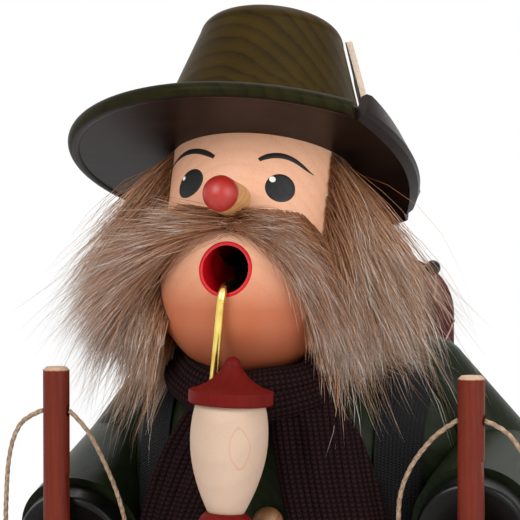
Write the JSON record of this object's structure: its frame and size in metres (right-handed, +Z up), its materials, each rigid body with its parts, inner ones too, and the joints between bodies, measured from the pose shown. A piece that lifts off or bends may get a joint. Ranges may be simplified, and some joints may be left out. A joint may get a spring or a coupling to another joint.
{
  "type": "german incense smoker",
  "caption": "Turned wooden incense smoker figure of a bearded hiker with hat, pipe, pack and walking poles; the upper figure lifts off its stand and smoke leaves by the mouth.",
  "frame": {"origin": "centre of the base plate's underside", "axes": "+Z up, -Y the way the figure faces, +X the figure's own left"},
  "size_m": [0.15, 0.1374, 0.299],
  "materials": {
    "base_wood": "clear satin lacquer",
    "black_lacquer": "near-black gloss lacquer",
    "trouser_wood": "dark brown satin stain",
    "green_wood": "dark bottle-green satin stain",
    "hat_wood": "dark olive satin stain",
    "skin_wood": "clear satin lacquer, painted face",
    "nose_wood": "satin, red painted end",
    "raw_wood": "bare, sanded",
    "button_wood": "brown satin stain",
    "mitten_wood": "dark red satin stain",
    "pole_wood": "red-brown stain",
    "oxblood_wood": "matt oxblood stain",
    "pack_wood": "brown satin stain",
    "brass": "polished",
    "fur": "long grey-brown pile",
    "scarf_knit": "fine rib knit",
    "webbing": "narrow woven tape",
    "twine": "twisted twine"
  },
  "bodies": {
    "stand": {"base_plate": "base_wood", "left_shoe": "black_lacquer", "right_shoe": "black_lacquer", "left_leg": "trouser_wood", "right_leg": "trouser_wood", "hips": "trouser_wood", "incense_tray": "brass", "tray_nail": "brass"},
    "figure": {"coat": "green_wood", "coat_buttons": "button_wood", "neck_tube": "raw_wood", "head": "skin_wood", "nose": "nose_wood", "hat_brim": "hat_wood", "hat_crown": "hat_wood", "hat_flap": "hat_wood", "hat_dowel": "raw_wood", "hat_feather": "raw_wood", "left_hair": "fur", "right_hair": "fur", "back_hair": "fur", "moustache": "fur", "scarf_wrap": "scarf_knit", "left_scarf_end": "scarf_knit", "right_scarf_end": "scarf_knit", "left_sleeve": "green_wood", "right_sleeve": "green_wood", "left_arm_dowel": "raw_wood", "right_arm_dowel": "raw_wood", "left_cuff": "black_lacquer", "right_cuff": "black_lacquer", "left_mitten": "mitten_wood", "right_mitten": "mitten_wood", "left_pole": "pole_wood", "right_pole": "pole_wood", "left_wrist_loop": "twine", "right_wrist_loop": "twine", "pipe_stem": "brass", "pipe_lid": "oxblood_wood", "pipe_bowl": "raw_wood", "pipe_foot": "oxblood_wood", "pack": "pack_wood", "pack_knobs": "black_lacquer", "left_strap": "webbing", "right_strap": "webbing"}
  },
  "joints": [
    {"name": "figure_lift", "type": "slide", "parent": "stand", "child": "figure", "axis": [0, 0, 1], "range_m": [0, 0.06]}
  ]
}
